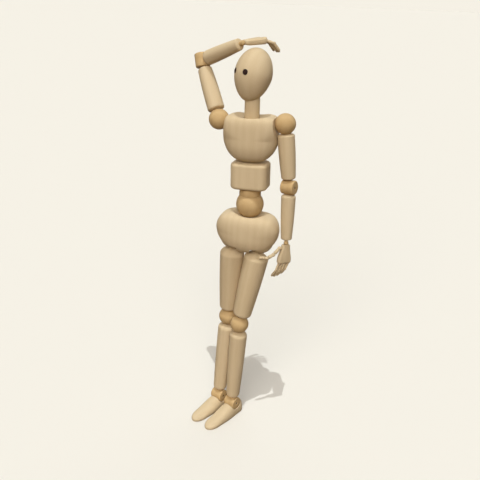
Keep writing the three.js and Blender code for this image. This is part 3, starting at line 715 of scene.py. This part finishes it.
def knuckle_seat(digit, center):
    """The hollow that a finger's or thumb's round knuckle sits in."""
    return ball(digit["knuckle"] + SEAT_GAP, center, around=32, rings=20)


def palm(thumb_side):
    """The palm with its seats, flat along Y, hanging from the wrist's ball and thinner there to bend."""
    top, bottom = PALM["top"], PALM["top"] - PALM["length"]
    half_wrist, half_knuckles = PALM["wrist"] / 2, PALM["knuckles"] / 2
    right_edge = [
        (half_wrist - PALM["wrist_corner"], top),
        (half_wrist, top - PALM["wrist_corner"]),
        (half_wrist, top - PALM["wrist_straight"]),
        (half_knuckles, bottom + PALM["knuckle_straight"]),
        (half_knuckles, bottom + PALM["knuckle_corner"]),
        (half_knuckles - PALM["knuckle_corner"], bottom),
    ]
    outline = right_edge + [(-x, z) for x, z in reversed(right_edge)]
    slab = bmesh.new()
    front = slab.faces.new([slab.verts.new((x, -PALM["thickness"] / 2, z)) for x, z in outline])
    grown = bmesh.ops.extrude_face_region(slab, geom=[front])
    moved = [v for v in grown["geom"] if isinstance(v, bmesh.types.BMVert)]
    bmesh.ops.translate(slab, verts=moved, vec=(0, PALM["thickness"], 0))
    bmesh.ops.recalc_face_normals(slab, faces=slab.faces)
    rims = [e for e in slab.edges if abs(e.verts[0].co.y - e.verts[1].co.y) < LEVEL_WITHIN]
    round_off(slab, rims, PALM["edge"], segments=5)
    for vert in slab.verts:
        near_wrist = max(0.0, (vert.co.z - PALM["thinned_from"]) / (top - PALM["thinned_from"]))
        vert.co.y *= 1 - PALM["thinned"] * near_wrist
    wrist_seat = ball(WRIST["radius"] + SEAT_GAP, around=40, rings=24)
    middle_seat = (len(REACHES) - 1) / 2
    finger_seats = [
        knuckle_seat(FINGER, ((k - middle_seat) * FINGER["spacing"], 0, bottom)) for k in range(len(REACHES))
    ]
    thumb_out = thumb_side * (PALM["wrist"] / 2 + THUMB["out"])
    return carved(slab, wrist_seat, *finger_seats, knuckle_seat(THUMB, (thumb_out, 0, -THUMB["down"])))


def knuckle_and_shaft(digit, slim_to):
    """A finger piece's profile down to where its shaft is slimmest, past the groove below its knuckle."""
    round_end, waist = digit["knuckle"], digit["radius"] * SHAFT["waist"]
    return [
        *arc((0, 0), (round_end, round_end), 90, SHAFT["knuckle_end"], 16),
        (waist * SHAFT["groove"], -round_end * SHAFT["groove_at"]),
        (waist * SHAFT["start"], -round_end * SHAFT["start_at"]),
        (waist, -slim_to),
    ]


def knuckled(digit, length):
    """A finger piece with a round knuckle above and a hollow below for the next one."""
    radius, low = digit["radius"], digit["knuckle"] - length
    rod = turned([
        *knuckle_and_shaft(digit, length * SHAFT["slim_to"]),
        (radius, low + DIGIT_END["edge_height"]), (radius - DIGIT_END["edge"], low), (0, low),
    ], steps=32)
    return carved(rod, knuckle_seat(digit, (0, 0, -length)))


def fingertip(digit, length):
    """The end of a finger: a round knuckle, a groove where its last two pieces meet and a round tip."""
    radius, tip_radius = digit["radius"], digit["tip"]
    groove = radius * SHAFT["groove_in_tip"]
    radii = (radius, groove, groove, radius)
    return turned([
        *knuckle_and_shaft(digit, length * SHAFT["tip_slim_to"]),
        *((r, -length * place) for r, place in zip(radii, SHAFT["groove_in_tip_at"])),
        ((radius + tip_radius) / 2, -length * SHAFT["taper_at"]),
        *arc((0, tip_radius - length), (tip_radius, tip_radius), 0, -90, 12),
    ], steps=32)


def hanging_way(node, origin):
    """The direction from a joint to the middle of the turned piece that hangs from it."""
    mesh = frame["nodes"][node].data
    middle, volume = Vector((0, 0, 0)), 0.0
    for face in mesh.polygons:
        a, b, c = (mesh.vertices[k].co - origin for k in face.vertices)
        share = a.dot(b.cross(c))
        middle += (a + b + c) * share / 4
        volume += share
    return (middle / volume).normalized()


def hang(bm, part, place):
    """Finishes a turned piece of a finger, which has its body's name."""
    finished(bm, f"turned_{part}", place, part, pale_wood)


for side, thumb_side in (("left", -1), ("right", 1)):
    wrist = pivot(f"wrist_bend_{side}")
    roots = [pivot(f"{digit}_root_{side}") for digit in REACHES]
    palm_up = (wrist - sum(roots, Vector((0, 0, 0))) / len(roots)).normalized()
    finished(
        palm(thumb_side), f"sawn_palm_{side}", standing(wrist, palm_up, axis(f"wrist_bend_{side}")),
        f"palm_{side}", pale_wood,
    )
    for digit, reach in REACHES.items():
        root, middle = pivot(f"{digit}_root_{side}"), pivot(f"{digit}_middle_{side}")
        last = f"{digit}_last_{side}"
        hang(
            knuckled(FINGER, FINGER["first"] * reach), f"{digit}_first_{side}",
            standing(root, root - middle, axis(f"{digit}_root_{side}")),
        )
        hang(
            fingertip(FINGER, FINGER["last"] * reach), last,
            standing(middle, -hanging_way(last, middle), axis(f"{digit}_middle_{side}")),
        )
    root, middle, tip_joint = (pivot(f"thumb_{part}_{side}") for part in ("root", "middle", "tip"))
    thumb_axis = axis(f"thumb_root_{side}")
    last = f"thumb_last_{side}"
    hang(knuckled(THUMB, THUMB["first"]), f"thumb_first_{side}", standing(root, root - middle, thumb_axis))
    hang(
        knuckled(THUMB, THUMB["middle"]), f"thumb_middle_{side}",
        standing(middle, middle - tip_joint, thumb_axis),
    )
    hang(
        fingertip(THUMB, THUMB["last"]), last,
        standing(tip_joint, -hanging_way(last, tip_joint), thumb_axis),
    )

# Each leg starts with a hip ball in the pelvis's socket. The thigh and shin are tapered turned dowels,
# hollowed where they meet the hip and knee balls, and pale like the rest. The knee balls are yellower.
THIGH = {"top": 12.4, "bottom": 9.7, "length": 75.4, "bulge": 0.4, "gap": 12.5}
SHIN = {"top": 9.2, "bottom": 7.3, "length": 84.6, "bulge": 0.3, "gap": 9.2}
LEG_ENDS = {"hip": (7.4, 1.2), "thigh_knee": (5.4, 0.8), "shin_knee": (6, 0.8), "ankle": (6, 0.8)}
KNEE = {"radius": 9.6, "gap": 9.2}
KNEE_POLE = Vector((0.2, 0.1, 1))

thigh_span = THIGH["gap"] + THIGH["length"] + KNEE["gap"]
for side in ("left", "right"):
    hip, knee, ankle = (pivot(f"{name}_{side}") for name in ("hip_swing", "knee_bend", "ankle_bend"))
    foot_side = axis(f"ankle_bend_{side}")
    turned_ball(f"hip_ball_{side}", HIP["radius"], f"hip_swing_{side}", pale_wood, hip - knee)
    finished(
        dowel(THIGH, LEG_ENDS["hip"], LEG_ENDS["thigh_knee"], HIP["radius"], KNEE["radius"], -thigh_span),
        f"turned_thigh_{side}", standing(hip, hip - knee, foot_side), f"thigh_{side}", pale_wood,
    )
    turned_ball(f"knee_ball_{side}", KNEE["radius"], f"knee_bend_{side}", amber_wood, KNEE_POLE)
    finished(
        dowel(SHIN, LEG_ENDS["shin_knee"], LEG_ENDS["ankle"], KNEE["radius"]),
        f"turned_shin_{side}", standing(knee, knee - ankle, foot_side), f"shin_{side}", pale_wood,
    )

# The ankle is a pinned cross barrel like the elbow's. The foot is a carved block, round at the heel and the
# toe and flat below, with a hollow on top that the barrel rolls in.
ANKLE = {
    "radius": 6.7, "length": 13.8, "height": 14.2, "edge": 1.1, "pin": 1.2, "fit": 0.12, "pin_short": 0.35,
}
FOOT = {
    "toe": 42, "heel": 13.6, "heel_width": 15.4, "ball_width": 17, "heel_height": 15, "toe_height": 5.2,
    "heel_round": 7.5, "toe_round": 12, "heel_fullness": 2.6, "toe_fullness": 3, "least_height": 1.6,
    "spread_rate": 1.25, "spread_power": 1.4, "instep": 0.18, "instep_to_toe": 0.82, "slope_power": 0.85,
    "side_fullness": 0.7, "top_fullness": 0.8, "sole_edge": 1.2, "sole_inset": 0.5, "sole_turn": 4,
}
NEAR_POLE = 0.9999
NEAR_FLAT = 0.001


def foot_section(forward):
    """The foot's half width and height at a place along it, both drawn in at the round heel and toe."""
    to_heel = min(1.0, (forward + FOOT["heel"]) / FOOT["heel_round"])
    to_toe = min(1.0, (FOOT["toe"] - forward) / FOOT["toe_round"])
    rounding = math.sqrt(max(0.0, 1 - (1 - to_heel) ** 2)) * math.sqrt(max(0.0, 1 - (1 - to_toe) ** 2))
    t = min(1.0, max(0.0, (forward + FOOT["heel"]) / (FOOT["toe"] + FOOT["heel"])))
    spread = math.sin(math.pi * min(1.0, t * FOOT["spread_rate"]) ** FOOT["spread_power"]) ** 2
    half_width = (FOOT["heel_width"] + (FOOT["ball_width"] - FOOT["heel_width"]) * spread) / 2
    s = min(1.0, max(0.0, (t - FOOT["instep"]) / FOOT["instep_to_toe"]))
    fall = (s * s * (3 - 2 * s)) ** FOOT["slope_power"]
    height = FOOT["heel_height"] + (FOOT["toe_height"] - FOOT["heel_height"]) * fall
    heel_crown = math.sqrt(max(0.0, 1 - (1 - to_heel) ** FOOT["heel_fullness"]))
    toe_crown = math.sqrt(max(0.0, 1 - (1 - to_toe) ** FOOT["toe_fullness"]))
    low = FOOT["least_height"]
    return half_width * rounding, low + (height - low) * (heel_crown * toe_crown)


def foot_block():
    """The whole foot before its hollow is cut, along -Y, hanging from the ankle."""
    foot = bmesh.new()
    bmesh.ops.create_uvsphere(foot, u_segments=64, v_segments=72, radius=1)
    middle, half_length = (FOOT["toe"] - FOOT["heel"]) / 2, (FOOT["toe"] + FOOT["heel"]) / 2
    low, inset = FOOT["sole_edge"], FOOT["sole_inset"]
    for vert in foot.verts:
        forward = middle - half_length * vert.co.z
        half_width, height = foot_section(forward)
        angle = math.atan2(vert.co.y, vert.co.x)
        cosine, sine = math.cos(angle), math.sin(angle)
        if angle >= -NEAR_FLAT:
            x = half_width * math.copysign(abs(cosine) ** FOOT["side_fullness"], cosine)
            z = low + (height - low) * max(0.0, sine) ** FOOT["top_fullness"]
        else:
            under = min(1.0, abs(sine) * FOOT["sole_turn"])
            x = (half_width - inset) * cosine / max(abs(cosine), abs(sine) ** 0.5, 0.01)
            x = math.copysign(min(abs(x), half_width - inset * under), cosine)
            z = low * (1 - under)
        if abs(vert.co.z) > NEAR_POLE:
            x, z = 0.0, low
        vert.co = (x, -forward, z - ANKLE["height"])
    return foot


for side in ("left", "right"):
    ankle_place = standing(pivot(f"ankle_bend_{side}"), Vector((0, 0, 1)), axis(f"ankle_bend_{side}"))
    barrel_body = f"ankle_barrel_{side}"
    finished(barrel(ANKLE), f"turned_ankle_barrel_{side}", ankle_place, barrel_body, amber_wood)
    finished(pin(ANKLE), f"cut_ankle_pin_{side}", ankle_place, barrel_body, steel, f"ankle_pin_{side}")
    finished(
        carved(foot_block(), barrel_room(ANKLE)), f"carved_foot_{side}", ankle_place, f"foot_{side}",
        pale_wood, crease=50,
    )

# The figure stands on a wide sheet of plain cream paper, which runs to a backdrop of the same cream. To the
# light the paper is a dull brown, so that little comes back from below. What is seen of it glows a little and
# keeps the shadow.
CREAM = from_screen(246, 241, 229)
PAPER = {"radius": 60, "seen": from_screen(230, 226, 217), "unseen": from_screen(64, 44, 28), "glow": 0.1}
# The colour sockets of a Mix node by number, because its plain sockets have the same names.
COLOR_A, COLOR_B, COLOR_OUT = 6, 7, 2


def greater(tree, first, second):
    """The greater of two node values."""
    return linked(
        tree, "ShaderNodeMath", operation="MAXIMUM", inputs={0: first, 1: second},
    ).outputs["Value"]


def looked_at(tree):
    """1 where the camera looks, also by a mirror or through glass, and 0 for light on its way."""
    rays = linked(tree, "ShaderNodeLightPath").outputs
    seen = greater(tree, rays["Is Camera Ray"], rays["Is Glossy Ray"])
    return greater(tree, seen, rays["Is Transmission Ray"])


ground = bmesh.new()
bmesh.ops.create_circle(ground, cap_ends=True, segments=64, radius=PAPER["radius"])
floor_mesh = bpy.data.meshes.new("floor")
ground.to_mesh(floor_mesh)
ground.free()
floor = bpy.data.objects.new("floor", floor_mesh)
bpy.context.scene.collection.objects.link(floor)
floor_look, paper = bare_material("floor_paper")
seen = looked_at(paper)
paper_color = linked(
    paper, "ShaderNodeMix", data_type="RGBA",
    inputs={0: seen, COLOR_A: PAPER["unseen"], COLOR_B: PAPER["seen"]},
)
matt = linked(
    paper, "ShaderNodeBsdfDiffuse", inputs={"Color": paper_color.outputs[COLOR_OUT], "Roughness": 0.0},
)
paper_glow = linked(paper, "ShaderNodeEmission", inputs={"Color": (1.0, 1.0, 1.0, 1.0), "Strength": 1.0})
glow_share = linked(paper, "ShaderNodeMath", operation="MULTIPLY", inputs={0: seen, 1: PAPER["glow"]})
mixed = linked(
    paper, "ShaderNodeMixShader",
    inputs={0: glow_share.outputs["Value"], 1: matt.outputs["BSDF"], 2: paper_glow.outputs["Emission"]},
)
linked(paper, "ShaderNodeOutputMaterial", inputs={"Surface": mixed.outputs["Shader"]})
floor_mesh.materials.append(floor_look)

# The studio is a dim room whose light is warm from the sides and whiter from above. A bright, whiter soft box
# stands in front, a wide and weaker one behind, and one high lamp throws the crisp shadow.
FRONT_BOX = {"heading": -85, "height": 31, "edge": 0.85, "strength": 5.0}
BACK_BOX = {"heading": 100, "height": 22, "edge": 0.45, "strength": 0.8}
ROOM = {
    "strength": 0.2, "sides": (1.0, 0.7, 0.42, 1.0), "above": (1.0, 0.99, 0.95, 1.0), "from": 0.1, "to": 0.8,
}
LAMP = {"elevation": 77, "heading": -83, "spread": 0.25, "strength": 1.5, "color": (0.93, 0.98, 1.0)}

world = bpy.data.worlds.new("studio")
bpy.context.scene.world = world
world.use_nodes = True
air = world.node_tree
air.nodes.clear()
way = linked(air, "ShaderNodeTexCoord").outputs["Generated"]


def toward(heading, height):
    """The direction to a place round the object, from its heading and its height in degrees."""
    across = math.cos(math.radians(height))
    return (
        across * math.cos(math.radians(heading)), across * math.sin(math.radians(heading)),
        math.sin(math.radians(height)),
    )


def eased(value, low, high):
    """0 below low and 1 above high, with a soft change between."""
    return linked(
        air, "ShaderNodeMapRange", interpolation_type="SMOOTHSTEP",
        inputs={"Value": value, "From Min": low, "From Max": high, "To Min": 0.0, "To Max": 1.0},
    ).outputs["Result"]


def soft_box(look):
    """How much a way from the object looks into a soft box, 0 to 1."""
    facing = linked(
        air, "ShaderNodeVectorMath", operation="DOT_PRODUCT",
        inputs={0: way, 1: toward(look["heading"], look["height"])},
    )
    return eased(facing.outputs["Value"], look["edge"], 1.0)


front_box = soft_box(FRONT_BOX)
back_box = soft_box(BACK_BOX)
way_up = linked(air, "ShaderNodeSeparateXYZ", inputs={"Vector": way}).outputs["Z"]
white_part = eased(way_up, ROOM["from"], ROOM["to"])
for box_part in (front_box, back_box):
    white_part = greater(air, white_part, box_part)
tint = linked(
    air, "ShaderNodeMix", data_type="RGBA",
    inputs={0: white_part, COLOR_A: ROOM["sides"], COLOR_B: ROOM["above"]},
)
power = weighted(air, front_box, FRONT_BOX["strength"], ROOM["strength"])
power = weighted(air, back_box, BACK_BOX["strength"], power)
glow = linked(air, "ShaderNodeBackground", inputs={"Color": tint.outputs[COLOR_OUT], "Strength": power})
backdrop = linked(air, "ShaderNodeBackground", inputs={"Color": CREAM, "Strength": 1.0})
chosen = linked(
    air, "ShaderNodeMixShader",
    inputs={0: looked_at(air), 1: glow.outputs["Background"], 2: backdrop.outputs["Background"]},
)
linked(air, "ShaderNodeOutputWorld", inputs={"Surface": chosen.outputs["Shader"]})

lamp_data = bpy.data.lights.new("high_lamp", "SUN")
lamp_data.color = LAMP["color"]
lamp_data.energy = LAMP["strength"]
lamp_data.angle = math.radians(LAMP["spread"])
lamp = bpy.data.objects.new("high_lamp", lamp_data)
bpy.context.scene.collection.objects.link(lamp)
toward_lamp = Vector(toward(LAMP["heading"], LAMP["elevation"]))
lamp.rotation_euler = toward_lamp.to_track_quat("Z", "Y").to_euler()

# The camera looks down at the figure from the front, a little from its left, and is held slightly askew. It
# is aimed above the left ankle, at about half the figure's height.
VIEW = {
    "turn": 15, "down": 22, "away": 0.6, "height": 0.2096, "roll": 2.33, "lens": 45,
    "from_ankle": (0.00166, -0.00038, 0),
}

turn, down, roll = (math.radians(VIEW[key]) for key in ("turn", "down", "roll"))
aim = pivot("ankle_bend_left") + Vector(VIEW["from_ankle"])
aim.z = VIEW["height"]
look = Matrix.Rotation(turn, 3, "Z") @ Vector((0, math.cos(down), -math.sin(down)))
right = Matrix.Rotation(turn, 3, "Z") @ Vector((1, 0, 0))
over = right.cross(look)
rolled_right = right * math.cos(roll) + over * math.sin(roll)
rolled_up = over * math.cos(roll) - right * math.sin(roll)
camera_data = bpy.data.cameras.new("camera")
camera_data.lens = VIEW["lens"]
camera = bpy.data.objects.new("camera", camera_data)
bpy.context.scene.collection.objects.link(camera)
camera.matrix_world = (
    Matrix.Translation(aim - look * VIEW["away"])
    @ Matrix((rolled_right, rolled_up, -look)).transposed().to_4x4()
)
bpy.context.scene.camera = camera
bpy.context.scene.view_settings.view_transform = "Standard"
